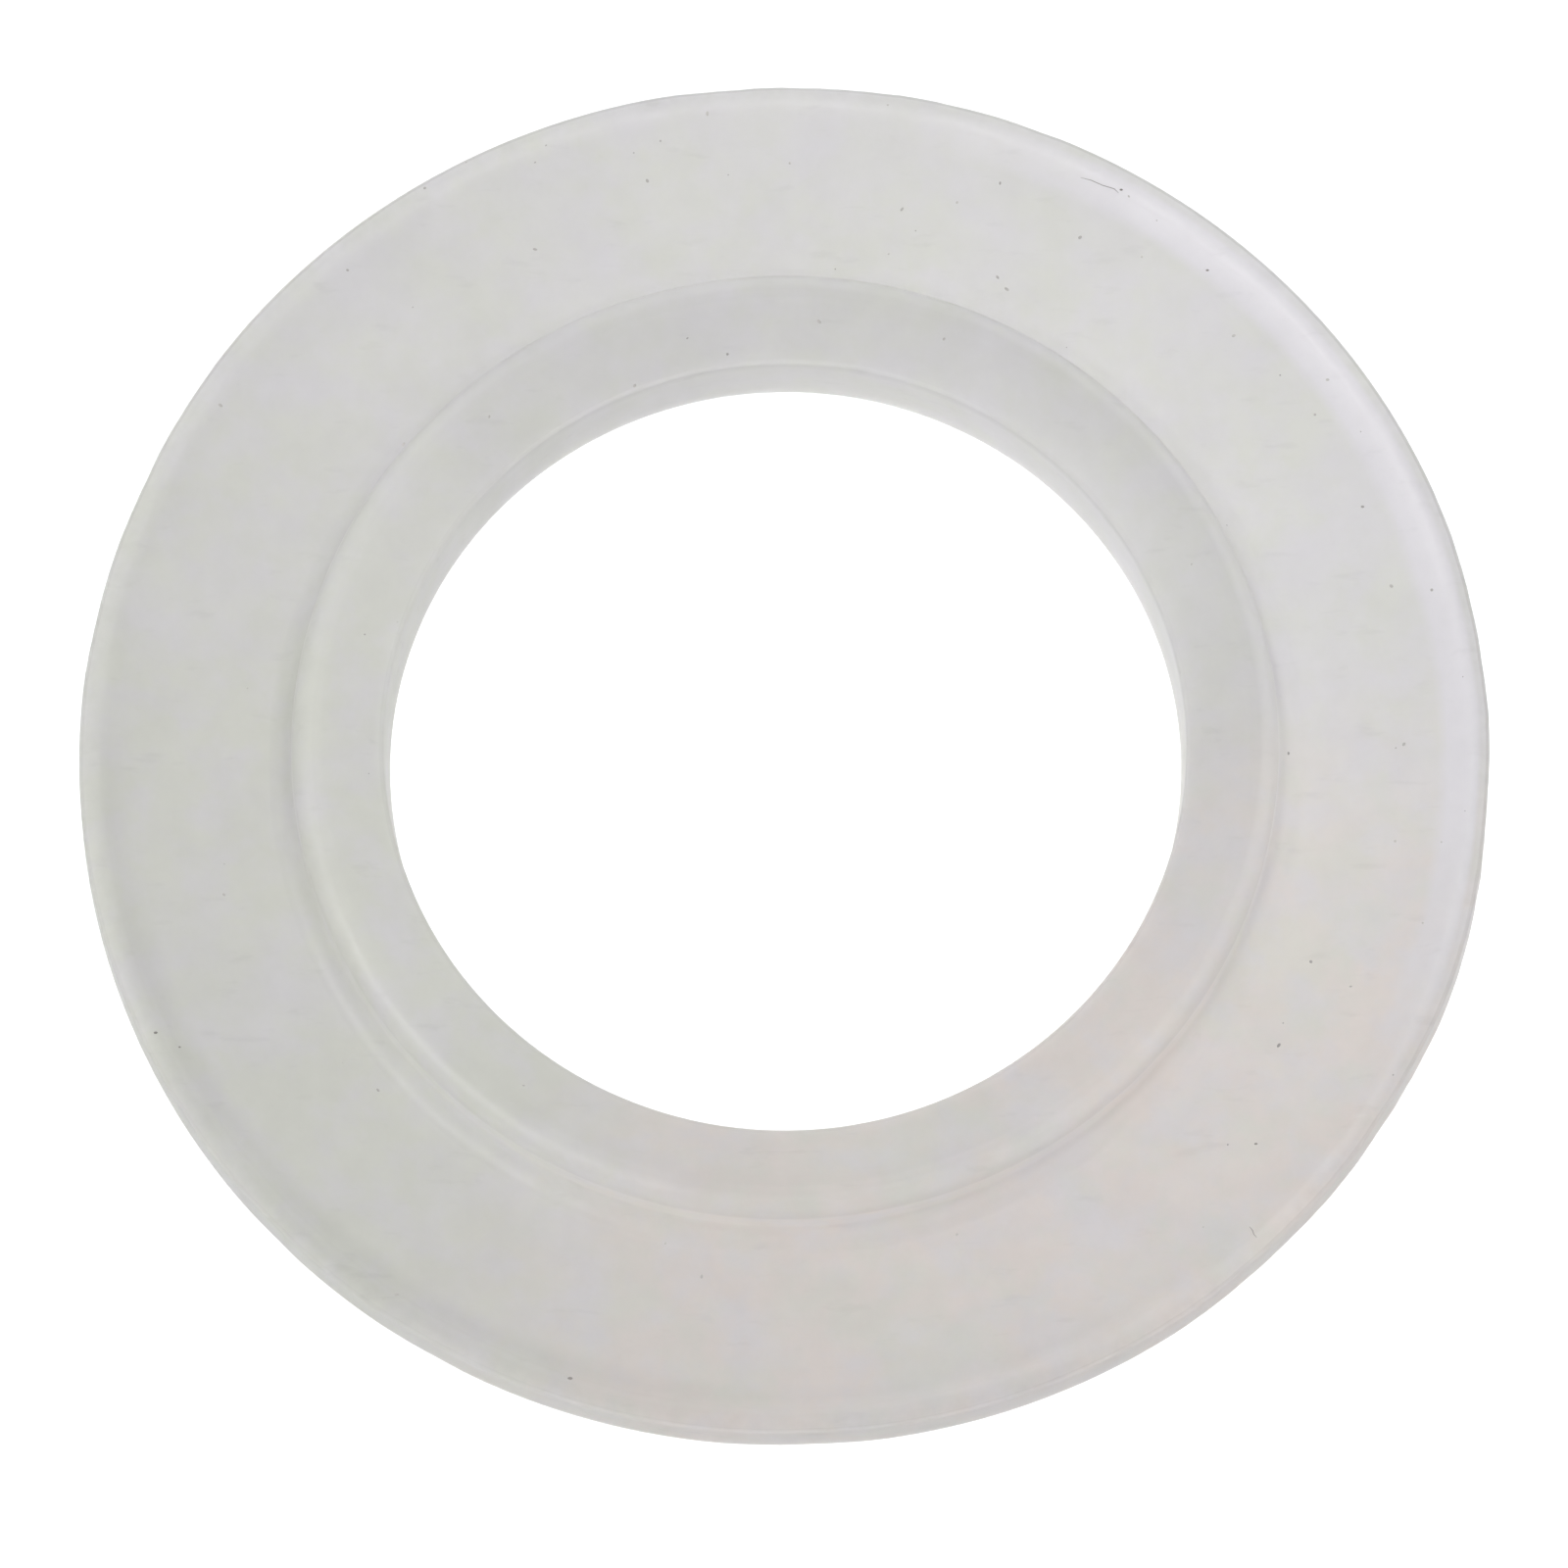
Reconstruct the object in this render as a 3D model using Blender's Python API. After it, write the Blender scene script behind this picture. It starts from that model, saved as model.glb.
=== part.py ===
"""Basin plug washer: one soft moulded ring with a raised hub round its bore and a wide, slightly
dished flange whose edge turns up to a low crest. The bore opens slightly upwards. The ring is a
single revolved solid that lies on its flat underside.

Units are metres, +Z is up and the origin is the centre of the underside.
"""
import math

import bmesh
import bpy
from mathutils import Vector

# Plan sizes
OUTER_DIAMETER = 0.0600
BORE_DIAMETER = 0.0336
BORE_DRAFT = 0.00025
HUB_CROWN_WIDTH = 0.0027
HUB_LAND_WIDTH = 0.0012
CREST_BEVEL_WIDTH = 0.0007

# Heights and thicknesses
FLANGE_THICKNESS = 0.00125
DISH_ANGLE = math.radians(4.0)
CREST_RISE = 0.00035
CREST_BEVEL_DROP = 0.0002
HUB_RISE = 0.00295
HUB_CROWN_DROP = 0.0007

# Roundings of the moulded edges
SCOOP_RADIUS = 0.0040
FLANGE_EDGE_ROUND = 0.0002
FLANGE_FOOT_ROUND = 0.0002
BORE_FOOT_ROUND = 0.0002
HUB_EDGE_ROUND = 0.0003
HUB_FOOT_FILLET = 0.0004

# Fineness of the faceted surface
SEGMENTS_AROUND = 96
SCOOP_STEPS = 6
CROWN_STEPS = 6
SMALL_ROUND_STEPS = 3
SHARP_EDGE_ANGLE = math.radians(35.0)

# Surface of the milky silicone
SILICONE_COLOUR = (0.66, 0.67, 0.66, 1.0)
SILICONE_ROUGHNESS = 0.5


def clear_scene():
    """Remove every object that is already in the file."""
    for thing in list(bpy.data.objects):
        bpy.data.objects.remove(thing, do_unlink=True)


def arc(centre, radius, start, end, steps):
    """Points of an arc in the section plane, from angle start to angle end, both included."""
    turn = (end - start) / steps
    angles = [start + turn * index for index in range(steps + 1)]
    return [centre + radius * Vector((math.cos(angle), math.sin(angle))) for angle in angles]


def rounded_corner(before, corner, after, radius, steps):
    """Points of the arc that rounds a corner of the section, touching both of its sides."""
    side_in = (before - corner).normalized()
    side_out = (after - corner).normalized()
    half_angle = side_in.angle(side_out) / 2
    shorter_side = min((before - corner).length, (after - corner).length)
    radius = min(radius, 0.45 * shorter_side * math.tan(half_angle))
    centre = corner + (side_in + side_out).normalized() * radius / math.sin(half_angle)
    touch_in = corner + side_in * radius / math.tan(half_angle) - centre
    touch_out = corner + side_out * radius / math.tan(half_angle) - centre
    start = math.atan2(touch_in.y, touch_in.x)
    turn = touch_in.angle_signed(touch_out)
    return arc(centre, radius, start, start - turn, steps)


def scoop(dish_start, crest):
    """Points of the hollow that leaves the dished flange smoothly and climbs to the crest."""
    along = Vector((math.cos(DISH_ANGLE), math.sin(DISH_ANGLE)))
    upward = Vector((-math.sin(DISH_ANGLE), math.cos(DISH_ANGLE)))
    rise = (crest - dish_start).dot(upward)
    radius = max(SCOOP_RADIUS, rise)
    run = math.sqrt(rise * (2 * radius - rise))
    start_along = (crest - dish_start).dot(along) - run
    centre = dish_start + along * start_along + upward * radius
    start = DISH_ANGLE - math.pi / 2
    sweep = math.acos(1 - rise / radius)
    return arc(centre, radius, start, start + sweep, SCOOP_STEPS)


def crown(bore_edge):
    """Points of the hub's crown, which rises from the bore's edge and ends level with the land."""
    radius = (HUB_CROWN_WIDTH**2 + HUB_CROWN_DROP**2) / (2 * HUB_CROWN_DROP)
    centre = bore_edge + Vector((HUB_CROWN_WIDTH, HUB_CROWN_DROP - radius))
    start = math.pi / 2 + math.asin(HUB_CROWN_WIDTH / radius)
    return arc(centre, radius, start, math.pi / 2, CROWN_STEPS)


def washer_section():
    """Closed outline of the ring's section as (radius, height) points, down the outer edge first."""
    outer_radius = OUTER_DIAMETER / 2
    bore_radius = BORE_DIAMETER / 2
    mouth_radius = bore_radius + BORE_DRAFT
    hub_radius = mouth_radius + HUB_CROWN_WIDTH + HUB_LAND_WIDTH
    hub_top = FLANGE_THICKNESS + HUB_RISE
    crest_radius = outer_radius - CREST_BEVEL_WIDTH
    dish_height = (crest_radius - hub_radius) * math.tan(DISH_ANGLE)
    crest_top = FLANGE_THICKNESS + dish_height + CREST_RISE
    edge_top = crest_top - CREST_BEVEL_DROP

    crest = Vector((crest_radius, crest_top))
    flange_edge = Vector((outer_radius, edge_top))
    flange_foot = Vector((outer_radius, 0.0))
    bore_foot = Vector((bore_radius, 0.0))
    bore_edge = Vector((mouth_radius, hub_top - HUB_CROWN_DROP))
    hub_edge = Vector((hub_radius, hub_top))
    hub_foot = Vector((hub_radius, FLANGE_THICKNESS))
    hub_crown = crown(bore_edge)
    hollow = scoop(hub_foot, crest)

    outline = []
    outline += rounded_corner(crest, flange_edge, flange_foot, FLANGE_EDGE_ROUND, SMALL_ROUND_STEPS)
    outline += rounded_corner(flange_edge, flange_foot, bore_foot, FLANGE_FOOT_ROUND, SMALL_ROUND_STEPS)
    outline += rounded_corner(flange_foot, bore_foot, bore_edge, BORE_FOOT_ROUND, SMALL_ROUND_STEPS)
    outline += hub_crown
    outline += rounded_corner(hub_crown[-1], hub_edge, hub_foot, HUB_EDGE_ROUND, SMALL_ROUND_STEPS)
    outline += rounded_corner(hub_edge, hub_foot, hollow[0], HUB_FOOT_FILLET, SMALL_ROUND_STEPS)
    outline += hollow
    return outline


def silicone_material():
    """Milky, slightly soft-looking silicone rubber."""
    material = bpy.data.materials.new("milky_silicone")
    material.use_nodes = True
    shader = material.node_tree.nodes["Principled BSDF"]
    shader.inputs["Base Color"].default_value = SILICONE_COLOUR
    shader.inputs["Roughness"].default_value = SILICONE_ROUGHNESS
    return material


def revolve(name, outline, material):
    """Turn a closed section outline once about Z into one named solid."""
    shape = bmesh.new()
    corners = [shape.verts.new((point.x, 0.0, point.y)) for point in outline]
    edges = [shape.edges.new((corners[index - 1], corners[index])) for index in range(len(corners))]
    bmesh.ops.spin(
        shape,
        geom=corners + edges,
        cent=(0.0, 0.0, 0.0),
        axis=(0.0, 0.0, 1.0),
        angle=math.tau,
        steps=SEGMENTS_AROUND,
        use_merge=True,
        use_duplicate=False,
    )
    bmesh.ops.recalc_face_normals(shape, faces=shape.faces)

    mesh = bpy.data.meshes.new(name)
    shape.to_mesh(mesh)
    shape.free()
    mesh.shade_smooth()
    mesh.set_sharp_from_angle(angle=SHARP_EDGE_ANGLE)
    mesh.materials.append(material)

    solid = bpy.data.objects.new(name, mesh)
    bpy.context.scene.collection.objects.link(solid)
    return solid


clear_scene()
revolve("plug_washer", washer_section(), silicone_material())
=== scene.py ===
"""Looks of the basin plug washer: a soft, milky silicone ring lying on a white studio floor."""
import math

import bmesh
import bpy
from mathutils import Matrix, Vector
from mathutils.bvhtree import BVHTree


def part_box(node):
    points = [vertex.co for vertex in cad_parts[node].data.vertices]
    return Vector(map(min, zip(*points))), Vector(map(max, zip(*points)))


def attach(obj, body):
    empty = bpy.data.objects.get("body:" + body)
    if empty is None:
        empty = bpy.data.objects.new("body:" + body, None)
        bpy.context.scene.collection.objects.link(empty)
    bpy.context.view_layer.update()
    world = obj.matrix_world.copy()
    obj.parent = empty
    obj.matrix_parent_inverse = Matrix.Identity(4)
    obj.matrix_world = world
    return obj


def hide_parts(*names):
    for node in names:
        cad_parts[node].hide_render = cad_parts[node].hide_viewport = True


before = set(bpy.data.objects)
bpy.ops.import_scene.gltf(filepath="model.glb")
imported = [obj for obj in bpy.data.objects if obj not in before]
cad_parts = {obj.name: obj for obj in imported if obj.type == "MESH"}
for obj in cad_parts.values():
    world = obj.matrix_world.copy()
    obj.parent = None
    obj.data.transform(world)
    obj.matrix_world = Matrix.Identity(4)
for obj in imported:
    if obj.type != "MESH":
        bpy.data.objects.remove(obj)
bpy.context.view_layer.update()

# The camera looks down on the ring's near side at a steep angle, from well back. In the photograph
# the ring's outline is an ellipse, whose centre and half width place and scale the view.
PHOTO_SIDE = 1600
RING_CENTRE_IN_PHOTO = (801.6, 782.0)
RING_HALF_WIDTH_IN_PHOTO = 720.1
VIEW_ELEVATION = math.radians(72.63)
VIEW_ROLL = math.radians(-1.1)
VIEW_DISTANCE = 1.5
SENSOR_WIDTH = 36.0
CENTRE_HEIGHT = 0.00048
NEAREST_SEEN = 0.01

ring_low, ring_high = (Vector(corner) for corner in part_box("plug_washer"))
ring_radius = (ring_high.x - ring_low.x) / 2
metres_per_pixel = ring_radius / RING_HALF_WIDTH_IN_PHOTO
frame_width = metres_per_pixel * PHOTO_SIDE

camera = bpy.data.objects.new("camera", bpy.data.cameras.new("camera"))
camera.data.sensor_width = SENSOR_WIDTH
camera.data.lens = SENSOR_WIDTH * VIEW_DISTANCE / frame_width
camera.data.clip_start = NEAREST_SEEN
towards_camera = Vector((0.0, -math.cos(VIEW_ELEVATION), math.sin(VIEW_ELEVATION)))
turned = Matrix.Rotation(VIEW_ROLL, 4, "Z")
facing = towards_camera.to_track_quat("Z", "Y").to_matrix().to_4x4() @ turned
side_shift = (PHOTO_SIDE / 2 - RING_CENTRE_IN_PHOTO[0]) * metres_per_pixel
lift_shift = (RING_CENTRE_IN_PHOTO[1] - PHOTO_SIDE / 2) * metres_per_pixel
target = Vector((0.0, 0.0, CENTRE_HEIGHT)) + facing.to_3x3() @ Vector((side_shift, lift_shift, 0.0))
camera.matrix_world = Matrix.Translation(target + towards_camera * VIEW_DISTANCE) @ facing
bpy.context.scene.collection.objects.link(camera)
bpy.context.scene.camera = camera


# The washer is one ring of milky silicone rubber, pressed in a two-part mould: a tall hub round
# the bore, and a wide flange, slightly dished, that turns up to a low crest at its edge. Its
# section is drawn once and turned about the bore's axis.

# Plan sizes and heights of the section
BORE_RADIUS = 0.0168
BORE_DRAFT = 0.00025
HUB_CROWN_WIDTH = 0.0027
HUB_CROWN_DROP = 0.0007
HUB_LAND_WIDTH = 0.0012
CREST_BEVEL_WIDTH = 0.0007
CREST_BEVEL_DROP = 0.0002
FLANGE_THICKNESS = 0.00125
DISH_ANGLE = math.radians(4.0)
CREST_RISE = 0.00035
SCOOP_RADIUS = 0.0040
CROWN_EVENNESS = 0.5

# Roundings of its edges
FLANGE_EDGE_ROUND = 0.0002
FLANGE_FOOT_ROUND = 0.0002
BORE_FOOT_ROUND = 0.0002
MOUTH_ROUND = 0.00028
HUB_EDGE_ROUND = 0.0008
HUB_FOOT_FILLET = 0.0010
CREST_ROUND = 0.0009

# How finely it is drawn and turned, and the places on it that the material tells apart
ROUND_STEPS = 10
CURVE_STEPS = 20
FLAT_STEPS = 6
TURN_STEPS = 480
WELD_DISTANCE = 1e-6
MARKS = (
    "side_wall", "worn_shaded_edge", "flange_face", "scoop", "rim",
    "hub_top", "hub_bend", "hub_wall", "bore_wall",
)

# The outer wall is pushed in wherever a slow noise round the ring rises over a limit.
EDGE_DEPTH = 0.0010
WAVINESS = 0.0008
DENT_FROM = 0.48
RIPPLES = 1.7
RIPPLE_DETAIL = 5.0
RIPPLE_ROUGHNESS = 0.58

mouth_radius = BORE_RADIUS + BORE_DRAFT
hub_radius = mouth_radius + HUB_CROWN_WIDTH + HUB_LAND_WIDTH


def arc(centre, radius, start, end, steps):
    """Points of an arc in the section plane, both ends included."""
    turn = (end - start) / steps
    angles = [start + turn * index for index in range(steps + 1)]
    return [centre + radius * Vector((math.cos(angle), math.sin(angle))) for angle in angles]


def rounded_corner(before, corner, after, radius):
    """Points of the arc that rounds a corner of the section."""
    side_in = (before - corner).normalized()
    side_out = (after - corner).normalized()
    half_angle = side_in.angle(side_out) / 2
    centre = corner + (side_in + side_out).normalized() * radius / math.sin(half_angle)
    touch_in = corner + side_in * radius / math.tan(half_angle) - centre
    touch_out = corner + side_out * radius / math.tan(half_angle) - centre
    start = math.atan2(touch_in.y, touch_in.x)
    turn = touch_in.angle_signed(touch_out)
    return arc(centre, radius, start, start - turn, ROUND_STEPS)


def scoop(dish_start, crest):
    """Points of the hollow that leaves the dished flange smoothly and climbs to the crest."""
    along = Vector((math.cos(DISH_ANGLE), math.sin(DISH_ANGLE)))
    upward = Vector((-math.sin(DISH_ANGLE), math.cos(DISH_ANGLE)))
    rise = (crest - dish_start).dot(upward)
    run = math.sqrt(rise * (2 * SCOOP_RADIUS - rise))
    centre = dish_start + along * ((crest - dish_start).dot(along) - run) + upward * SCOOP_RADIUS
    start = DISH_ANGLE - math.pi / 2
    return arc(centre, SCOOP_RADIUS, start, start + math.acos(1 - rise / SCOOP_RADIUS), CURVE_STEPS)


def crown(mouth):
    """Points of the hub's crown, which rises from the bore's mouth and ends level with the land."""
    radius = (HUB_CROWN_WIDTH**2 + HUB_CROWN_DROP**2) / (2 * HUB_CROWN_DROP)
    centre = mouth + Vector((HUB_CROWN_WIDTH, HUB_CROWN_DROP - radius))
    start = math.pi / 2 + math.asin(HUB_CROWN_WIDTH / radius)
    round_crown = arc(centre, radius, start, math.pi / 2, CURVE_STEPS)
    straight = [mouth.lerp(round_crown[-1], step / CURVE_STEPS) for step in range(CURVE_STEPS + 1)]
    return [bend.lerp(chord, CROWN_EVENNESS) for bend, chord in zip(round_crown, straight)]


def mixed(first, second, share):
    """Marks part of the way from one set to another, in the order of MARKS."""
    return [first.get(mark, 0.0) * (1 - share) + second.get(mark, 0.0) * share for mark in MARKS]


def trimmed(points, end, length):
    """The points of a stretch that lie further than a length from one of its ends."""
    return [point for point in points if (point - end).length > length]


def washer_section():
    """Closed outline of the ring's section, down the outer edge first.

    Each entry is a (radius, height) point with its marks, which say how much it lies on each of
    the places named in MARKS.
    """
    hub_top = ring_high.z
    crest_radius = ring_radius - CREST_BEVEL_WIDTH
    dish_height = (crest_radius - hub_radius) * math.tan(DISH_ANGLE)
    crest_top = FLANGE_THICKNESS + dish_height + CREST_RISE
    crest = Vector((crest_radius, crest_top))
    flange_edge = Vector((ring_radius, crest_top - CREST_BEVEL_DROP))
    flange_foot = Vector((ring_radius, 0.0))
    bore_foot = Vector((BORE_RADIUS, 0.0))
    mouth = Vector((mouth_radius, hub_top - HUB_CROWN_DROP))
    hub_edge = Vector((hub_radius, hub_top))
    hub_foot = Vector((hub_radius, FLANGE_THICKNESS))
    hub_crown = trimmed(crown(mouth), mouth, MOUTH_ROUND)
    hollow = trimmed(scoop(hub_foot, crest), crest, CREST_ROUND / 2)

    # How much each kind of surface counts as one of the marked places
    plain = {}
    on_side = {"side_wall": 1.0}
    on_bore = {"bore_wall": 1.0}
    on_mouth = {"worn_shaded_edge": 1.0, "hub_top": 0.5}
    on_hub_top = {"hub_top": 1.0}
    under_hub_edge = {"hub_bend": 1.0, "hub_wall": 0.3}
    on_hub_wall = {"hub_bend": 1.0, "hub_wall": 1.0}
    on_flange = {"flange_face": 1.0}
    on_scoop = {"flange_face": 1.0, "scoop": 1.0}
    on_crest = {"flange_face": 1.0, "scoop": 0.1, "rim": 1.0, "worn_shaded_edge": 0.3}
    on_flange_edge = {"side_wall": 0.6, "flange_face": 0.5, "rim": 1.0, "worn_shaded_edge": 0.4}

    flange_lip = rounded_corner(crest, flange_edge, flange_foot, FLANGE_EDGE_ROUND)
    outer_foot = rounded_corner(flange_edge, flange_foot, bore_foot, FLANGE_FOOT_ROUND)
    inner_foot = rounded_corner(flange_foot, bore_foot, mouth, BORE_FOOT_ROUND)
    bore_lip = rounded_corner(bore_foot, mouth, hub_crown[0], MOUTH_ROUND)
    hub_lip = rounded_corner(hub_crown[-1], hub_edge, hub_foot, HUB_EDGE_ROUND)
    hub_fillet = rounded_corner(hub_edge, hub_foot, hollow[0], HUB_FOOT_FILLET)
    flange_crest = rounded_corner(hollow[-1], crest, flange_edge, CREST_ROUND)

    # Each stretch has its marks where it starts and ends, its points, and the marks of the straight
    # run that follows it.
    stretches = [
        (on_flange_edge, on_side, flange_lip, on_side),
        (on_side, plain, outer_foot, plain),
        (plain, on_bore, inner_foot, on_bore),
        (on_mouth, on_mouth, bore_lip, on_hub_top),
        (on_hub_top, on_hub_top, hub_crown, on_hub_top),
        (on_hub_top, under_hub_edge, hub_lip, on_hub_wall),
        (on_hub_wall, on_flange, hub_fillet, on_flange),
        (on_flange, on_scoop, hollow, on_scoop),
        (on_scoop, on_crest, flange_crest, on_crest),
    ]
    outline = []
    for index, (start_marks, end_marks, points, flat_marks) in enumerate(stretches):
        next_start = stretches[(index + 1) % len(stretches)][2][0]
        for step, point in enumerate(points):
            outline.append((point, mixed(start_marks, end_marks, step / (len(points) - 1))))
        for step in range(1, FLAT_STEPS):
            flat_point = points[-1].lerp(next_start, step / FLAT_STEPS)
            outline.append((flat_point, mixed(flat_marks, flat_marks, 0.0)))
    return outline


def section_wire(outline):
    """The outline as a closed wire in the plane of X and Z, with its marks as attributes."""
    wire = bmesh.new()
    layers = [wire.verts.layers.float.new(name) for name in MARKS]
    corners = []
    for point, marks in outline:
        corner = wire.verts.new((point.x, 0.0, point.y))
        for layer, mark in zip(layers, marks):
            corner[layer] = mark
        corners.append(corner)
    for index, corner in enumerate(corners):
        wire.edges.new((corners[index - 1], corner))
    mesh = bpy.data.meshes.new("washer_section")
    wire.to_mesh(mesh)
    wire.free()
    return mesh


def feed(tree, value, target):
    """Feed an input socket from an output socket, or set it to a plain value."""
    if isinstance(value, bpy.types.NodeSocket):
        tree.links.new(value, target)
    else:
        target.default_value = value


def number(tree, operation, first, second=0.0):
    """The result of a Math node on two sockets or plain numbers."""
    node = tree.nodes.new("ShaderNodeMath")
    node.operation = operation
    feed(tree, first, node.inputs[0])
    feed(tree, second, node.inputs[1])
    return node.outputs[0]


def vector(tree, operation, first, second=(0.0, 0.0, 0.0)):
    """The result of a Vector Math node. For SCALE, the second value is the number to scale by."""
    node = tree.nodes.new("ShaderNodeVectorMath")
    node.operation = operation
    feed(tree, first, node.inputs[0])
    feed(tree, second, node.inputs["Scale" if operation == "SCALE" else 1])
    return node.outputs["Vector"]


def reach_from_axis(tree, place):
    """How far a place is from the bore's axis."""
    node = tree.nodes.new("ShaderNodeVectorMath")
    node.operation = "LENGTH"
    feed(tree, vector(tree, "MULTIPLY", place, (1.0, 1.0, 0.0)), node.inputs[0])
    return node.outputs["Value"]


def noise(tree, place, scale, detail, roughness=0.5):
    """The value of a noise texture at a place, around 0.5."""
    texture = tree.nodes.new("ShaderNodeTexNoise")
    texture.inputs["Scale"].default_value = scale
    texture.inputs["Detail"].default_value = detail
    texture.inputs["Roughness"].default_value = roughness
    feed(tree, place, texture.inputs["Vector"])
    return texture.outputs["Fac"]


def named_inputs(tree, kinds):
    """Add named inputs to a tree, and give each one's identifier, which a modifier is set by."""
    identifiers = {}
    for name, kind in kinds.items():
        kind = "NodeSocket" + kind
        socket = tree.interface.new_socket(name, in_out="INPUT", socket_type=kind)
        identifiers[name] = socket.identifier
    return identifiers


def turning_tree(material):
    """Geometry Nodes that turn a closed wire once about Z into a closed skin.

    The skin keeps the wire's marks, and its outer wall runs in and out a little, as a thin soft
    edge does when it comes out of the mould.
    """
    tree = bpy.data.node_groups.new("turn_section", "GeometryNodeTree")
    sockets = named_inputs(tree, {
        "Section": "Geometry",
        "Steps around": "Int",
        "Waviness": "Float",
        "Wavy from radius": "Float",
    })
    tree.interface.new_socket("Ring", in_out="OUTPUT", socket_type="NodeSocketGeometry")
    nodes = tree.nodes
    source = nodes.new("NodeGroupInput")
    section = source.outputs["Section"]
    steps = source.outputs["Steps around"]

    size = nodes.new("GeometryNodeAttributeDomainSize")
    size.component = "MESH"
    feed(tree, section, size.inputs["Geometry"])
    count = size.outputs["Point Count"]

    # A grid has one row for each corner of the section, with the first once more at its end, and
    # one column for each step round the axis. Each grid corner is then moved to its place.
    columns = number(tree, "ADD", steps, 1)
    grid = nodes.new("GeometryNodeMeshGrid")
    feed(tree, number(tree, "ADD", count, 1), grid.inputs["Vertices X"])
    feed(tree, columns, grid.inputs["Vertices Y"])

    index = nodes.new("GeometryNodeInputIndex").outputs["Index"]
    place = number(tree, "FLOOR", number(tree, "DIVIDE", number(tree, "ADD", index, 0.5), columns))
    step = number(tree, "SUBTRACT", index, number(tree, "MULTIPLY", place, columns))
    angle = number(tree, "MULTIPLY", step, number(tree, "DIVIDE", math.tau, steps))
    section_index = number(tree, "MODULO", place, count)

    def sampled(value, data_type):
        """A value of the section, read at the corner that this row stands for."""
        sample = nodes.new("GeometryNodeSampleIndex")
        sample.data_type = data_type
        sample.domain = "POINT"
        feed(tree, section, sample.inputs["Geometry"])
        feed(tree, value, sample.inputs["Value"])
        feed(tree, section_index, sample.inputs["Index"])
        return sample.outputs["Value"]

    skin = grid.outputs["Mesh"]
    for mark in MARKS:
        read = nodes.new("GeometryNodeInputNamedAttribute")
        read.data_type = "FLOAT"
        read.inputs["Name"].default_value = mark
        keep = nodes.new("GeometryNodeStoreNamedAttribute")
        keep.data_type = "FLOAT"
        keep.domain = "POINT"
        keep.inputs["Name"].default_value = mark
        feed(tree, skin, keep.inputs["Geometry"])
        feed(tree, sampled(read.outputs["Attribute"], "FLOAT"), keep.inputs["Value"])
        skin = keep.outputs["Geometry"]

    position = nodes.new("GeometryNodeInputPosition").outputs["Position"]
    rotate = nodes.new("ShaderNodeVectorRotate")
    rotate.rotation_type = "Z_AXIS"
    feed(tree, sampled(position, "FLOAT_VECTOR"), rotate.inputs["Vector"])
    feed(tree, angle, rotate.inputs["Angle"])
    turned = rotate.outputs["Vector"]

    direction = nodes.new("ShaderNodeCombineXYZ")
    feed(tree, number(tree, "COSINE", angle), direction.inputs["X"])
    feed(tree, number(tree, "SINE", angle), direction.inputs["Y"])
    outward = direction.outputs["Vector"]
    ripple = noise(tree, outward, RIPPLES, RIPPLE_DETAIL, RIPPLE_ROUGHNESS)
    dent = number(tree, "MAXIMUM", number(tree, "SUBTRACT", ripple, DENT_FROM))
    inset = number(tree, "MULTIPLY", dent, source.outputs["Waviness"])
    wavy_from = source.outputs["Wavy from radius"]
    beyond = number(tree, "SUBTRACT", reach_from_axis(tree, turned), wavy_from)
    share = number(tree, "MAXIMUM", number(tree, "DIVIDE", beyond, EDGE_DEPTH))
    inward = number(tree, "MULTIPLY", number(tree, "MULTIPLY", inset, share), -1.0)

    move = nodes.new("GeometryNodeSetPosition")
    feed(tree, skin, move.inputs["Geometry"])
    feed(tree, turned, move.inputs["Position"])
    feed(tree, vector(tree, "SCALE", outward, inward), move.inputs["Offset"])

    weld = nodes.new("GeometryNodeMergeByDistance")
    weld.inputs["Distance"].default_value = WELD_DISTANCE
    feed(tree, move.outputs["Geometry"], weld.inputs["Geometry"])

    smooth = nodes.new("GeometryNodeSetShadeSmooth")
    feed(tree, weld.outputs["Geometry"], smooth.inputs["Geometry"])
    realize = nodes.new("GeometryNodeRealizeInstances")
    feed(tree, smooth.outputs["Geometry"], realize.inputs["Geometry"])
    finish = nodes.new("GeometryNodeSetMaterial")
    finish.inputs["Material"].default_value = material
    feed(tree, realize.outputs["Geometry"], finish.inputs["Geometry"])
    result = nodes.new("NodeGroupOutput")
    feed(tree, finish.outputs["Geometry"], result.inputs["Ring"])
    return tree, sockets


# Tones of the silicone. A side of the ring is an angle from +X, and two cosines of the turn away
# from it: where its tone starts to show and where it shows fully.
MILK_TONE = (0.603, 0.598, 0.592)
GREENISH_TONE = (0.597, 0.601, 0.560)
WARM_TONE = (0.641, 0.598, 0.575)
COOL_TONE = (0.609, 0.597, 0.620)
GREENISH_SIDE = (math.radians(204), 0.3, 0.85)
WARM_SIDE = (math.radians(300), 0.3, 0.85)

# A pattern is a noise: its size, detail and roughness, and an offset that tells it from others.
CLOUDS = 0.050
CLOUD_PATTERN = (0.0045, 6.0, 0.66, 0.2)
MOTTLE = 0.034
MOTTLE_PATTERN = (0.0011, 3.0, 0.6, 1.3)
RIM_MOTTLE = 0.045
RIM_MOTTLE_PATTERN = (0.0005, 2.0, 0.6, 2.1)
BLOTCH_PATTERNS = ((0.0052, 4.0, 0.6, 0.013), (0.0024, 4.0, 0.6, 0.41))
COOL_BLOTCH_OFFSET = 3.7
BLOTCH_LIMITS = (0.48, 0.66)
BLOTCH_SHARE = 0.55
SMEAR_LENGTH = 0.0022
SMEAR_WIDTH = 0.0006
SMEAR_LIE = math.radians(25)
SMEAR_DETAIL = 3.0
SMEAR_LIMITS = (0.63, 0.74)
SMEAR_LOSS = 0.045
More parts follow.
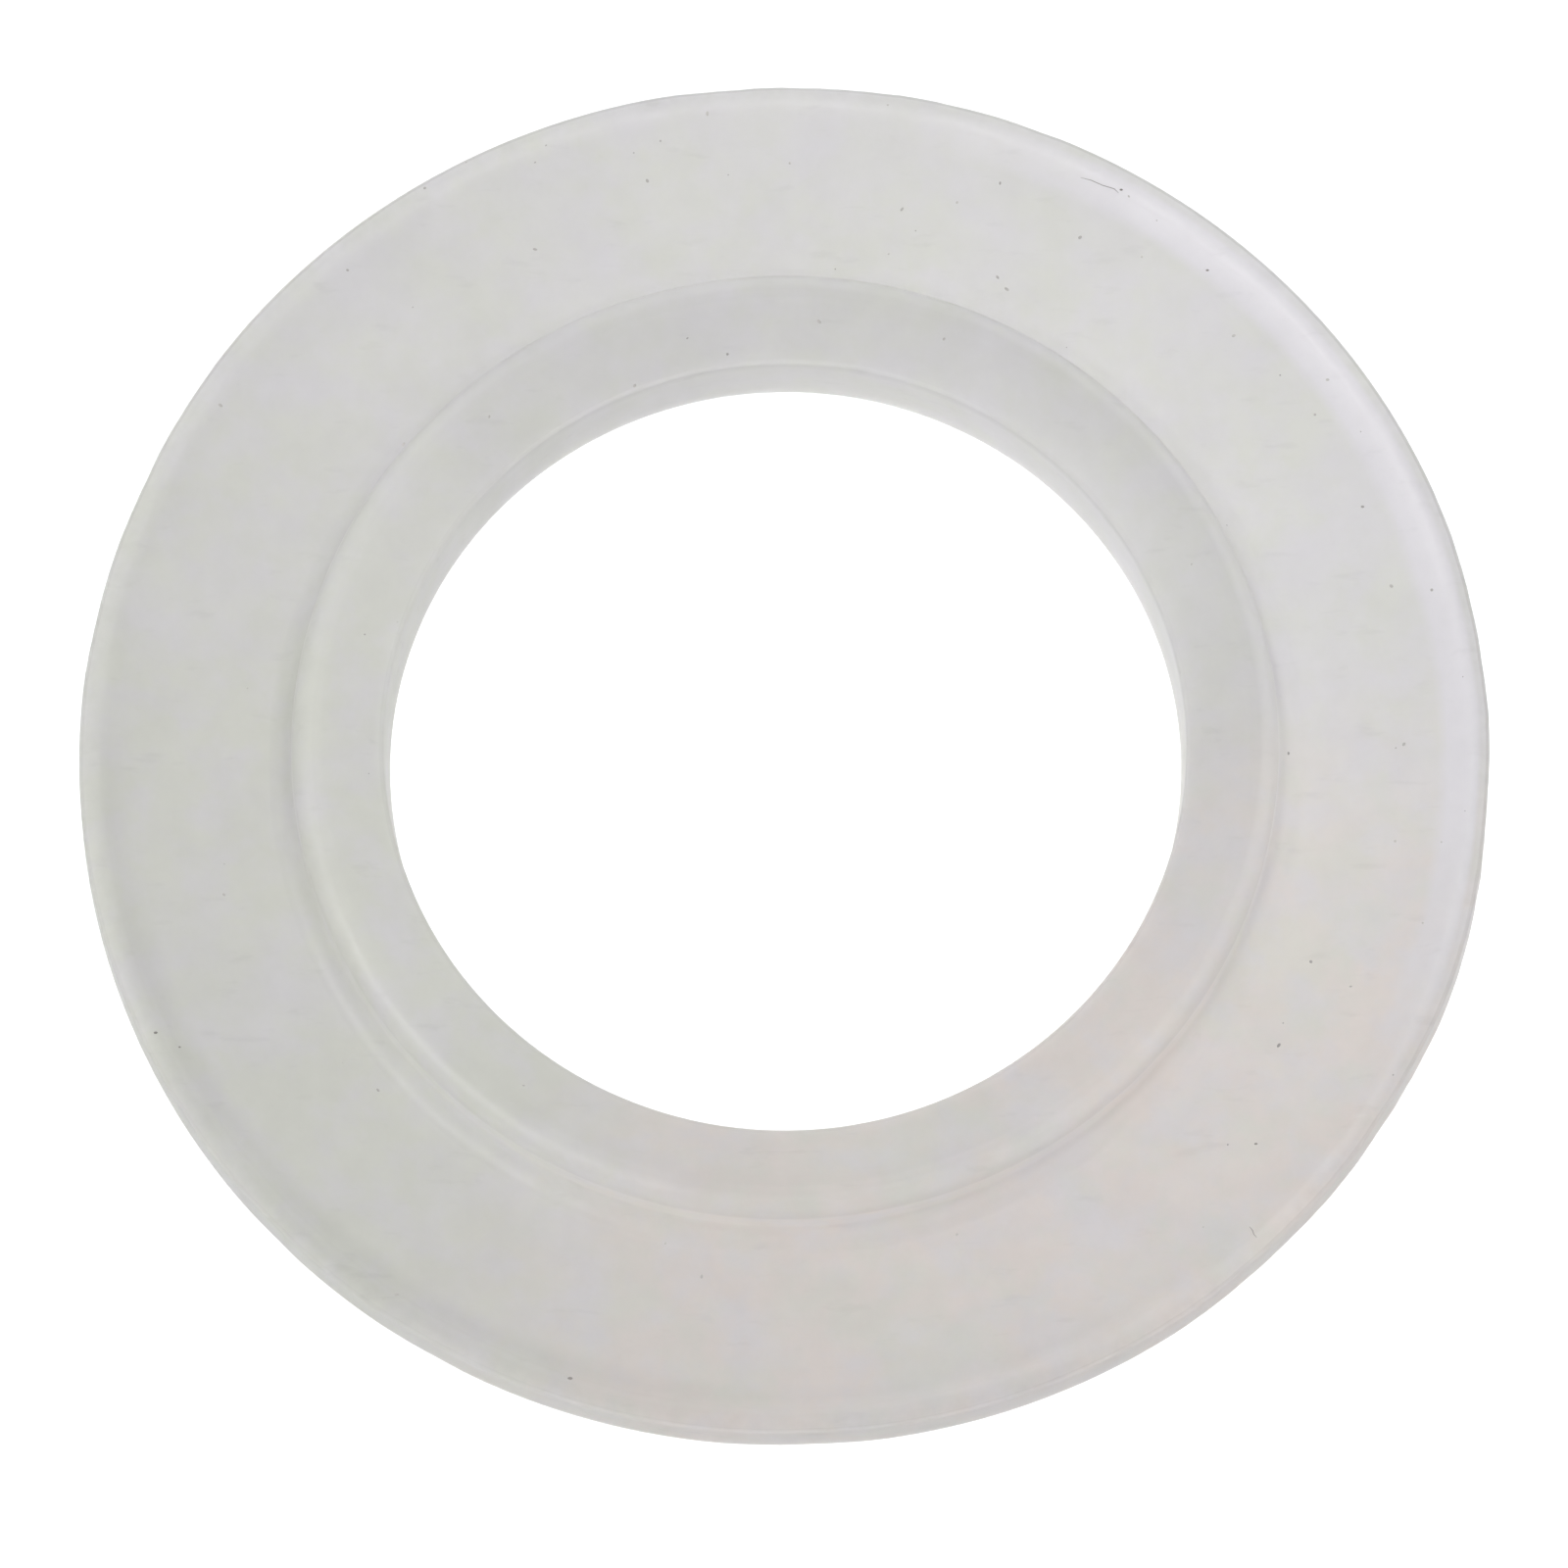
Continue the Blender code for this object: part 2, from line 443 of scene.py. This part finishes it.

# Shares by which places are paler (gain) or greyer (loss) than the rest. All but the even loss
# over the hub top are painted light and painted shade.
FLANGE_LIT_SIDE = math.radians(52)
FLANGE_PAINTED_LIGHT = 0.070
RIM_HIGHLIGHT_SIDE = (math.radians(24), 0.5, 0.9)
RIM_PAINTED_HIGHLIGHT = 0.042
SCOOP_FADE = 2.5
NEAR_RIM_SIDE = (math.radians(255), 0.45, 0.85)
NEAR_RIM_PAINTED_SHADE = 0.09
NEAR_HOLLOW_PAINTED_LIGHT = 0.045
RIGHT_RIM_SIDE = (math.radians(350), 0.7, 0.97)
RIGHT_RIM_PAINTED_SHADE = 0.080
SHADED_HOLLOW_SIDE = (math.radians(226), 0.55, 0.95)
HOLLOW_PAINTED_SHADE = 0.050
SHOULDER = (0.0186, 0.0200)
SHADED_SHOULDER_SIDE = (math.radians(252), 0.4, 0.95)
SHOULDER_PAINTED_SHADE = 0.050
HUB_FOOT_SHADE_WIDTH = 0.0045
HUB_FOOT_PAINTED_SHADE = 0.045
GREY_HUB_LOSS = 0.020
SHADED_CROWN_SIDE = (math.radians(52), -0.1, 0.8)
CROWN_PAINTED_SHADE = 0.045
LIT_HUB_SIDE = (math.radians(180), 0.6, 0.95)
HUB_PAINTED_LIGHT = 0.035
EDGE_PAINTED_SHADE = 0.05
SIDE_WALL_PAINTED_SHADE = 0.15
SHADED_BEND_SIDE = (math.radians(230), -0.1, 0.6)
BEND_PAINTED_SHADE = 0.080
LIT_BEND_SIDE = (math.radians(48), 0.2, 0.7)
BEND_PAINTED_LIGHT = 0.21
NEAR_WALL = (math.radians(272), -0.1, 0.7)
NEAR_WALL_PAINTED_LIGHT = 0.14
HUB_WALL_PAINTED_LIGHT = 0.05
LIT_BORE_SIDE = math.radians(350)
BORE_PAINTED_LIGHT = 0.080
BORE_PAINTED_SHADE = 0.005

# Depth that light spreads to in the silicone, its gloss, and the grain of its skin.
SCATTER_DEPTH = 0.0011
SILICONE_IOR = 1.41
SATIN = 0.42
SATIN_CHANGE = 0.08
SATIN_PATTERN = (0.0016, 3.0, 0.6, 0.4)
EDGE_ROUGHENING = 0.14
GRAIN_HEIGHT = 0.000004
FINE_GRAIN_PATTERN = (0.00035, 3.0, 0.6, 0.7)
COARSE_GRAIN_PATTERN = (0.0028, 2.0, 0.5, 0.9)
COARSE_GRAIN = 6.0


def silicone():
    """Milky silicone: light enters, spreads a millimetre and leaves softly.

    Its tone drifts between cool, greenish and warm greys in soft patches. Light and shade are
    painted into its colour: painted light on the far right of the flange, on the left of the hub
    top, on the hub's bend and wall and on the bore wall; a painted highlight in the rim's hollow on
    the right; and painted shade on the rounded edges, the side wall, two stretches of the rim, the
    hollow, the hub's shoulder, crown and bend, and round the hub's foot.
    """
    material = bpy.data.materials.new("milky_silicone")
    material.use_nodes = True
    tree = material.node_tree
    nodes = tree.nodes
    shader = nodes["Principled BSDF"]
    shader.inputs["Subsurface Weight"].default_value = 1.0
    shader.inputs["Subsurface Radius"].default_value = (1.0, 1.0, 1.0)
    shader.inputs["Subsurface Scale"].default_value = SCATTER_DEPTH
    shader.inputs["IOR"].default_value = SILICONE_IOR

    place = nodes.new("ShaderNodeTexCoord").outputs["Object"]
    axes = nodes.new("ShaderNodeSeparateXYZ")
    feed(tree, place, axes.inputs[0])
    reach = reach_from_axis(tree, place)

    def times(first, second):
        return number(tree, "MULTIPLY", first, second)

    def pattern(size, detail, roughness, offset):
        """A soft noise with features of a given size."""
        shifted = vector(tree, "ADD", place, (offset, offset, offset))
        return noise(tree, shifted, 1 / size, detail, roughness)

    def swing(size, detail, roughness, offset):
        """A pattern that swings between about -1 and 1."""
        return times(number(tree, "SUBTRACT", pattern(size, detail, roughness, offset), 0.5), 2.0)

    def mark(name):
        """How much a point counts as one of the marked places."""
        node = nodes.new("ShaderNodeAttribute")
        node.attribute_name = name
        return node.outputs["Fac"]

    def facing(angle):
        """Cosine of the turn between a point's own side of the ring and a given side."""
        along = number(tree, "ADD",
                       times(axes.outputs["X"], math.cos(angle)),
                       times(axes.outputs["Y"], math.sin(angle)))
        return number(tree, "DIVIDE", along, reach)

    def climb(value, zero_at, full_at, full=1.0, bend="SMOOTHSTEP"):
        """0 where a value is at the first limit, climbing to its full amount at the second."""
        node = nodes.new("ShaderNodeMapRange")
        node.interpolation_type = bend
        node.inputs["From Min"].default_value = zero_at
        node.inputs["From Max"].default_value = full_at
        node.inputs["To Max"].default_value = full
        feed(tree, value, node.inputs["Value"])
        return node.outputs["Result"]

    def on_side(angle, shows_at, full_at):
        """1 on a given side of the ring, fading to 0 further round."""
        return climb(facing(angle), shows_at, full_at)

    def blended(first, second, share):
        """A colour part of the way from one colour to another."""
        mix = nodes.new("ShaderNodeMix")
        mix.data_type = "RGBA"
        feed(tree, share, mix.inputs["Factor"])
        for socket, value in ((mix.inputs[6], first), (mix.inputs[7], second)):
            feed(tree, (*value, 1.0) if isinstance(value, tuple) else value, socket)
        return mix.outputs[2]

    def blotches(size, detail, roughness, offset):
        """Scattered patches with soft edges, for a tint that shows only here and there."""
        patches = pattern(size, detail, roughness, offset)
        return climb(patches, *BLOTCH_LIMITS, BLOTCH_SHARE, "LINEAR")

    stretch = nodes.new("ShaderNodeMapping")
    stretch.inputs["Rotation"].default_value = (0.0, 0.0, SMEAR_LIE)
    stretch.inputs["Scale"].default_value = (1 / SMEAR_LENGTH, 1 / SMEAR_WIDTH, 1 / SMEAR_WIDTH)
    feed(tree, place, stretch.inputs["Vector"])
    smear_noise = noise(tree, stretch.outputs["Vector"], 1.0, SMEAR_DETAIL)
    smears = climb(smear_noise, *SMEAR_LIMITS, bend="LINEAR")

    on_flange = mark("flange_face")
    on_hub = mark("hub_top")
    on_rim = mark("rim")
    in_hollow = mark("scoop")
    on_bend = mark("hub_bend")
    # Painted shade round the hub's foot fades out over this width of the flange.
    near_hub = climb(reach, hub_radius + HUB_FOOT_SHADE_WIDTH, hub_radius)
    shoulder = times(climb(reach, *SHOULDER), on_hub)
    mid_bend = times(times(on_bend, number(tree, "SUBTRACT", 1.0, on_bend)), 4.0)
    raised = number(tree, "MINIMUM", times(in_hollow, SCOOP_FADE), 1.0)
    steep = number(tree, "MAXIMUM",
                   number(tree, "SUBTRACT", times(in_hollow, SCOOP_FADE), SCOOP_FADE - 1))
    # Painted highlight: the rim's hollow is made paler on the right side.
    rim_highlight = times(on_side(*RIM_HIGHLIGHT_SIDE), raised)
    # Painted light for the bore wall: paler towards its right side, less a small even painted
    # shade.
    painted_bore_light = number(tree, "SUBTRACT", times(facing(LIT_BORE_SIDE), BORE_PAINTED_LIGHT), BORE_PAINTED_SHADE)
    changes = (
        times(swing(*CLOUD_PATTERN), CLOUDS),
        times(swing(*MOTTLE_PATTERN), MOTTLE),
        times(times(swing(*RIM_MOTTLE_PATTERN), on_rim), RIM_MOTTLE),
        times(smears, -SMEAR_LOSS),
        # Painted light: the flange is paler towards its far right side.
        times(times(facing(FLANGE_LIT_SIDE), on_flange), FLANGE_PAINTED_LIGHT),
        # Painted highlight in the rim's hollow, on the right side.
        times(rim_highlight, RIM_PAINTED_HIGHLIGHT),
        # Painted shade on the rim's near side.
        times(times(on_side(*NEAR_RIM_SIDE), on_rim), -NEAR_RIM_PAINTED_SHADE),
        # Painted shade on the rim's right side.
        times(times(on_side(*RIGHT_RIM_SIDE), on_rim), -RIGHT_RIM_PAINTED_SHADE),
        # Painted light at the top of the hollow, on the rim's near side.
        times(times(on_side(*NEAR_RIM_SIDE), steep), NEAR_HOLLOW_PAINTED_LIGHT),
        # Painted shade in the hollow, on its near left side.
        times(times(on_side(*SHADED_HOLLOW_SIDE), in_hollow), -HOLLOW_PAINTED_SHADE),
        # Painted shade on the outer part of the hub top, on its near side.
        times(times(on_side(*SHADED_SHOULDER_SIDE), shoulder), -SHOULDER_PAINTED_SHADE),
        # Painted shade on the flange round the hub's foot, where the corner would be in shade.
        times(times(near_hub, on_flange), -HUB_FOOT_PAINTED_SHADE),
        times(on_hub, -GREY_HUB_LOSS),
        # Painted shade on the hub's crown, on its far right side.
        times(times(on_side(*SHADED_CROWN_SIDE), on_hub), -CROWN_PAINTED_SHADE),
        # Painted light on the hub top, on its left side.
        times(times(on_side(*LIT_HUB_SIDE), on_hub), HUB_PAINTED_LIGHT),
        # Painted shade on the rounded edges of the mouth, the crest and the flange edge.
        times(mark("worn_shaded_edge"), -EDGE_PAINTED_SHADE),
        # Painted shade on the outer side wall.
        times(mark("side_wall"), -SIDE_WALL_PAINTED_SHADE),
        # Painted shade along the middle of the hub's rounded bend, on its near left side.
        times(times(on_side(*SHADED_BEND_SIDE), mid_bend), -BEND_PAINTED_SHADE),
        # Painted light on the hub's bend and wall, on the far right side.
        times(times(on_side(*LIT_BEND_SIDE), on_bend), BEND_PAINTED_LIGHT),
        # Painted light on the hub's wall, on the near side.
        times(times(on_side(*NEAR_WALL), mark("hub_wall")), NEAR_WALL_PAINTED_LIGHT),
        # Painted light on the whole hub wall.
        times(mark("hub_wall"), HUB_WALL_PAINTED_LIGHT),
        # Painted light and shade on the bore wall.
        times(painted_bore_light, mark("bore_wall")),
    )
    gain = 1.0
    for change in changes:
        gain = number(tree, "ADD", change, gain)

    tone = blended(MILK_TONE, GREENISH_TONE, on_side(*GREENISH_SIDE))
    tone = blended(tone, WARM_TONE, on_side(*WARM_SIDE))
    for size, detail, roughness, offset in BLOTCH_PATTERNS:
        greenish = blotches(size, detail, roughness, offset)
        cool = blotches(size, detail, roughness, offset + COOL_BLOTCH_OFFSET)
        tone = blended(blended(tone, GREENISH_TONE, greenish), COOL_TONE, cool)
    # The painted highlight in the rim's hollow is tinted cool.
    tone = blended(tone, COOL_TONE, rim_highlight)
    feed(tree, vector(tree, "SCALE", tone, gain), shader.inputs["Base Color"])

    satin = number(tree, "ADD", times(swing(*SATIN_PATTERN), SATIN_CHANGE), SATIN)
    satin = number(tree, "ADD", satin, times(mark("worn_shaded_edge"), EDGE_ROUGHENING))
    feed(tree, satin, shader.inputs["Roughness"])

    grain = number(tree, "ADD",
                   pattern(*FINE_GRAIN_PATTERN),
                   times(pattern(*COARSE_GRAIN_PATTERN), COARSE_GRAIN))
    bump = nodes.new("ShaderNodeBump")
    bump.inputs["Strength"].default_value = 1.0
    bump.inputs["Distance"].default_value = GRAIN_HEIGHT
    feed(tree, grain, bump.inputs["Height"])
    feed(tree, bump.outputs["Normal"], shader.inputs["Normal"])
    return material


def bake(carrier, tree, settings, name):
    """Run a node tree on a carrier object and keep its result as one plain mesh object."""
    modifier = carrier.modifiers.new("tree", "NODES")
    modifier.node_group = tree
    for identifier, value in settings.items():
        modifier[identifier] = value
    bpy.context.scene.collection.objects.link(carrier)
    depsgraph = bpy.context.evaluated_depsgraph_get()
    mesh = bpy.data.meshes.new_from_object(carrier.evaluated_get(depsgraph))
    mesh.name = name
    carrier.modifiers.remove(modifier)
    bpy.data.objects.remove(carrier)
    piece = bpy.data.objects.new(name, mesh)
    bpy.context.scene.collection.objects.link(piece)
    return piece


silicone_finish = silicone()
section_carrier = bpy.data.objects.new("section_carrier", section_wire(washer_section()))
ring_tree, ring_inputs = turning_tree(silicone_finish)
ring_settings = {
    ring_inputs["Steps around"]: TURN_STEPS,
    ring_inputs["Waviness"]: WAVINESS,
    ring_inputs["Wavy from radius"]: ring_radius - EDGE_DEPTH,
}
ring = bake(section_carrier, ring_tree, ring_settings, "silicone_ring")
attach(ring, "root")
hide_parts("plug_washer")


# Dust has settled on the tacky silicone: dark specks of about a tenth of a millimetre, half sunk in
# the surface and thickest on the far right side. They lie anywhere on the upper face but the land.
SPECK_SEED = 7
SPECKS_PER_AREA = 84000.0
SPECK_RADIUS = (0.000022, 0.000068)
SPECK_LENGTH = (1.0, 1.9)
SPECK_FLATNESS = 0.5
SPECK_FINENESS = 2
LAND_EDGE = 0.0212
CROWN_EDGE = 0.0192
LEVEL_FROM = 0.8
EVEN_THICKNESS = 0.55
FAR_RIGHT_THICKNESS = 0.4
LEAST_THICKNESS = 0.2
DUST_GREY = (0.30, 0.29, 0.28)
DUST_ROUGHNESS = 0.9
DIRT_SPOTS = 900.0
DIRT_DETAIL = 2.0
DIRT_LIMITS = (0.35, 0.65)
PALEST_DIRT = 1.8


def dirt(name, colour, roughness):
    """Matt dirt that varies from a colour to a paler one in spots of about a millimetre."""
    material = bpy.data.materials.new(name)
    material.use_nodes = True
    tree = material.node_tree
    shader = tree.nodes["Principled BSDF"]
    shader.inputs["Roughness"].default_value = roughness
    place = tree.nodes.new("ShaderNodeTexCoord").outputs["Object"]
    ramp = tree.nodes.new("ShaderNodeValToRGB")
    shades = (colour, tuple(PALEST_DIRT * channel for channel in colour))
    for element, position, shade in zip(ramp.color_ramp.elements, DIRT_LIMITS, shades):
        element.position = position
        element.color = (*shade, 1.0)
    feed(tree, noise(tree, place, DIRT_SPOTS, DIRT_DETAIL), ramp.inputs["Fac"])
    feed(tree, ramp.outputs["Color"], shader.inputs["Base Color"])
    return material


def dusting_tree(material):
    """Geometry Nodes that scatter sunk specks over the upper face of a ring."""
    tree = bpy.data.node_groups.new("settle_dust", "GeometryNodeTree")
    sockets = named_inputs(tree, {
        "Ring": "Geometry",
        "Density": "Float",
        "Seed": "Int",
        "Smallest": "Float",
        "Largest": "Float",
    })
    tree.interface.new_socket("Specks", in_out="OUTPUT", socket_type="NodeSocketGeometry")
    nodes = tree.nodes
    source = nodes.new("NodeGroupInput")

    def drawn(low, high, seed):
        """A random number between two limits, drawn anew for each speck."""
        node = nodes.new("FunctionNodeRandomValue")
        node.data_type = "FLOAT"
        feed(tree, low, node.inputs[2])
        feed(tree, high, node.inputs[3])
        feed(tree, seed, node.inputs["Seed"])
        return node.outputs[1]

    position = nodes.new("GeometryNodeInputPosition").outputs["Position"]
    axes = nodes.new("ShaderNodeSeparateXYZ")
    feed(tree, position, axes.inputs[0])
    reach = reach_from_axis(tree, position)
    facing = nodes.new("ShaderNodeSeparateXYZ")
    feed(tree, nodes.new("GeometryNodeInputNormal").outputs["Normal"], facing.inputs[0])
    level = number(tree, "GREATER_THAN", facing.outputs["Z"], LEVEL_FROM)
    off_land = number(tree, "MAXIMUM",
                      number(tree, "GREATER_THAN", reach, LAND_EDGE),
                      number(tree, "LESS_THAN", reach, CROWN_EDGE))
    across = number(tree, "ADD", axes.outputs["X"], axes.outputs["Y"])
    far_right = number(tree, "DIVIDE", across, ring_radius)
    thickness = number(tree, "ADD",
                       number(tree, "MULTIPLY", far_right, FAR_RIGHT_THICKNESS), EVEN_THICKNESS)
    thickness = number(tree, "MAXIMUM", thickness, LEAST_THICKNESS)
    density = number(tree, "MULTIPLY",
                     number(tree, "MULTIPLY", level, off_land),
                     number(tree, "MULTIPLY", thickness, source.outputs["Density"]))

    scatter = nodes.new("GeometryNodeDistributePointsOnFaces")
    feed(tree, source.outputs["Ring"], scatter.inputs["Mesh"])
    feed(tree, density, scatter.inputs["Density"])
    feed(tree, source.outputs["Seed"], scatter.inputs["Seed"])

    blob = nodes.new("GeometryNodeMeshIcoSphere")
    blob.inputs["Radius"].default_value = 1.0
    blob.inputs["Subdivisions"].default_value = SPECK_FINENESS
    radius = drawn(source.outputs["Smallest"], source.outputs["Largest"], source.outputs["Seed"])
    size = nodes.new("ShaderNodeCombineXYZ")
    length = drawn(*SPECK_LENGTH, SPECK_SEED + 1)
    feed(tree, number(tree, "MULTIPLY", radius, length), size.inputs["X"])
    feed(tree, radius, size.inputs["Y"])
    feed(tree, number(tree, "MULTIPLY", radius, SPECK_FLATNESS), size.inputs["Z"])
    turn = nodes.new("FunctionNodeAxisAngleToRotation")
    turn.inputs["Axis"].default_value = (0.0, 0.0, 1.0)
    feed(tree, drawn(0.0, math.tau, SPECK_SEED + 2), turn.inputs["Angle"])
    spin = nodes.new("FunctionNodeRotateRotation")
    spin.rotation_space = "LOCAL"
    feed(tree, scatter.outputs["Rotation"], spin.inputs["Rotation"])
    feed(tree, turn.outputs["Rotation"], spin.inputs["Rotate By"])

    place = nodes.new("GeometryNodeInstanceOnPoints")
    feed(tree, scatter.outputs["Points"], place.inputs["Points"])
    feed(tree, blob.outputs["Mesh"], place.inputs["Instance"])
    feed(tree, spin.outputs["Rotation"], place.inputs["Rotation"])
    feed(tree, size.outputs["Vector"], place.inputs["Scale"])

    realize = nodes.new("GeometryNodeRealizeInstances")
    feed(tree, place.outputs["Instances"], realize.inputs["Geometry"])
    finish = nodes.new("GeometryNodeSetMaterial")
    finish.inputs["Material"].default_value = material
    feed(tree, realize.outputs["Geometry"], finish.inputs["Geometry"])
    result = nodes.new("NodeGroupOutput")
    feed(tree, finish.outputs["Geometry"], result.inputs["Specks"])
    return tree, sockets


dust_tree, dust_inputs = dusting_tree(dirt("grey_dust", DUST_GREY, DUST_ROUGHNESS))
dust_settings = {
    dust_inputs["Density"]: SPECKS_PER_AREA,
    dust_inputs["Seed"]: SPECK_SEED,
    dust_inputs["Smallest"]: SPECK_RADIUS[0],
    dust_inputs["Largest"]: SPECK_RADIUS[1],
}
dust_carrier = bpy.data.objects.new("dust_carrier", ring.data.copy())
dust = bake(dust_carrier, dust_tree, dust_settings, "dust_specks")
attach(dust, "root")


# Lint: two short hairs and a few larger grains that cling to the rim and the flange. A hair is a
# thin tube laid on the surface.
HAIR_RADIUS = 0.000016
HAIR_SIDES = 8
HAIR_LIFT = 0.4 * HAIR_RADIUS
HAIR_TIP_SHARE = 0.5
HAIRS = (
    (
        (0.01308, 0.02562), (0.01352, 0.02548), (0.01400, 0.02524),
        (0.01450, 0.02506), (0.01468, 0.02488),
    ),
    ((0.01925, -0.02125), (0.01936, -0.02142), (0.01942, -0.02164), (0.01954, -0.02180)),
)
GRAINS = (
    (-0.0096, -0.0274, 0.00009), (0.0184, 0.0214, 0.00006), (0.0148, 0.0250, 0.00006),
    (-0.0269, -0.0118, 0.00007), (-0.0259, -0.0124, 0.00005), (0.0196, -0.0175, 0.00006),
)
GRAIN_STRETCH = (1.25, 0.8, 0.45)
GRAIN_FINENESS = 2
LINT_GREY = (0.17, 0.16, 0.15)
LINT_ROUGHNESS = 0.85


def surface_finder(piece):
    """A search tree of a piece's faces, to lay other things on them."""
    shape = bmesh.new()
    shape.from_mesh(piece.data)
    finder = BVHTree.FromBMesh(shape)
    shape.free()
    return finder


def laid_on_ring(x, y, lift):
    """The point of the ring's upper face over a plan point, lifted off it by a given height."""
    hit = ring_surface.ray_cast(Vector((x, y, 2 * ring_high.z)), Vector((0.0, 0.0, -1.0)))[0]
    return hit + Vector((0.0, 0.0, lift))


def add_hair(shape, plan_points):
    """A closed thin tube through plan points, laid on the ring."""
    path = [laid_on_ring(x, y, HAIR_LIFT) for x, y in plan_points]
    last = len(path) - 1
    rings = []
    for index, centre in enumerate(path):
        ahead = (path[min(index + 1, last)] - path[max(index - 1, 0)]).normalized()
        sideways = ahead.cross(Vector((0.0, 0.0, 1.0))).normalized()
        upward = sideways.cross(ahead)
        radius = HAIR_RADIUS * (HAIR_TIP_SHARE if index in (0, last) else 1.0)
        rings.append([
            shape.verts.new(centre + radius * (math.cos(turn) * sideways + math.sin(turn) * upward))
            for turn in (math.tau * side / HAIR_SIDES for side in range(HAIR_SIDES))
        ])
    for first, second in zip(rings, rings[1:]):
        for side in range(HAIR_SIDES):
            after = (side + 1) % HAIR_SIDES
            shape.faces.new((first[side], first[after], second[after], second[side]))
    shape.faces.new(reversed(rings[0]))
    shape.faces.new(rings[-1])


ring_surface = surface_finder(ring)
lint_shape = bmesh.new()
for plan_points in HAIRS:
    add_hair(lint_shape, plan_points)
for x, y, grain_radius in GRAINS:
    spot = Matrix.Translation(laid_on_ring(x, y, 0.0)) @ Matrix.Diagonal((*GRAIN_STRETCH, 1.0))
    bmesh.ops.create_icosphere(
        lint_shape, subdivisions=GRAIN_FINENESS, radius=grain_radius, matrix=spot)
bmesh.ops.recalc_face_normals(lint_shape, faces=lint_shape.faces)
lint_mesh = bpy.data.meshes.new("lint")
lint_shape.to_mesh(lint_mesh)
lint_shape.free()
lint_mesh.shade_smooth()
lint_mesh.materials.append(dirt("dark_lint", LINT_GREY, LINT_ROUGHNESS))
lint = bpy.data.objects.new("lint", lint_mesh)
bpy.context.scene.collection.objects.link(lint)
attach(lint, "root")


# The floor is a plain white sheet that the ring lies on, like the paper of a photo table. It shows
# white to the camera and keeps the ring's soft shadow.
FLOOR_SIDE = 1.0
FLOOR_WHITE = 0.8
FLOOR_GLOW = 0.22
FLOOR_DROP = 0.00005


def looked_at(tree):
    """1 for the camera, also by way of a gloss or clear stuff, and 0 where only light is given."""
    path = tree.nodes.new("ShaderNodeLightPath")
    looked = number(tree, "MAXIMUM", path.outputs["Is Camera Ray"], path.outputs["Is Glossy Ray"])
    return number(tree, "MAXIMUM", looked, path.outputs["Is Transmission Ray"])


def studio_floor():
    """A square white sheet just under the ring."""
    mesh = bpy.data.meshes.new("floor")
    sheet = bmesh.new()
    bmesh.ops.create_grid(sheet, x_segments=1, y_segments=1, size=FLOOR_SIDE / 2)
    sheet.to_mesh(mesh)
    sheet.free()
    material = bpy.data.materials.new("white_floor")
    material.use_nodes = True
    tree = material.node_tree
    tree.nodes.clear()
    matt = tree.nodes.new("ShaderNodeBsdfDiffuse")
    matt.inputs["Color"].default_value = (FLOOR_WHITE, FLOOR_WHITE, FLOOR_WHITE, 1.0)
    glow = tree.nodes.new("ShaderNodeEmission")
    feed(tree, number(tree, "MULTIPLY", looked_at(tree), FLOOR_GLOW), glow.inputs["Strength"])
    both = tree.nodes.new("ShaderNodeAddShader")
    feed(tree, matt.outputs["BSDF"], both.inputs[0])
    feed(tree, glow.outputs["Emission"], both.inputs[1])
    output = tree.nodes.new("ShaderNodeOutputMaterial")
    feed(tree, both.outputs["Shader"], output.inputs["Surface"])
    mesh.materials.append(material)
    floor = bpy.data.objects.new("floor", mesh)
    floor.location.z = -FLOOR_DROP
    bpy.context.scene.collection.objects.link(floor)
    return floor


studio_floor()


# The light is a white tent round the ring and four soft lamps: a broad one overhead, a smaller one
# high on the left, and two weak ones low on the near and the far side. Only the tent throws shadow.
TENT_LIGHT = 0.20

# Each lamp has a name, a strength, a spread, the side it shines from and its height over the floor.
LAMPS = (
    ("overhead_lamp", 1.37, math.radians(150), 0.0, math.radians(90)),
    ("side_lamp", 1.25, math.radians(30), math.radians(196), math.radians(58)),
    ("near_lamp", 0.60, math.radians(60), math.radians(295), math.radians(14)),
    ("far_lamp", 0.35, math.radians(60), math.radians(35), math.radians(16)),
)

world = bpy.data.worlds.new("tent")
bpy.context.scene.world = world
world.use_nodes = True
sky = world.node_tree
backdrop = sky.nodes["Background"]
feed(sky, number(sky, "MAXIMUM", looked_at(sky), TENT_LIGHT), backdrop.inputs["Strength"])
backdrop.inputs["Color"].default_value = (1.0, 1.0, 1.0, 1.0)


def soft_lamp(name, strength, spread, azimuth, height):
    """A lamp without shadows that lights the ring evenly from one direction."""
    lamp = bpy.data.objects.new(name, bpy.data.lights.new(name, "SUN"))
    lamp.data.energy = strength
    lamp.data.angle = spread
    lamp.data.use_shadow = False
    lamp.data.cycles.use_multiple_importance_sampling = False
    lamp_from = Vector((
        math.cos(azimuth) * math.cos(height),
        math.sin(azimuth) * math.cos(height),
        math.sin(height),
    ))
    lamp.rotation_euler = lamp_from.to_track_quat("Z", "Y").to_euler()
    bpy.context.scene.collection.objects.link(lamp)


for lamp_values in LAMPS:
    soft_lamp(*lamp_values)

bpy.context.scene.view_settings.view_transform = "Standard"
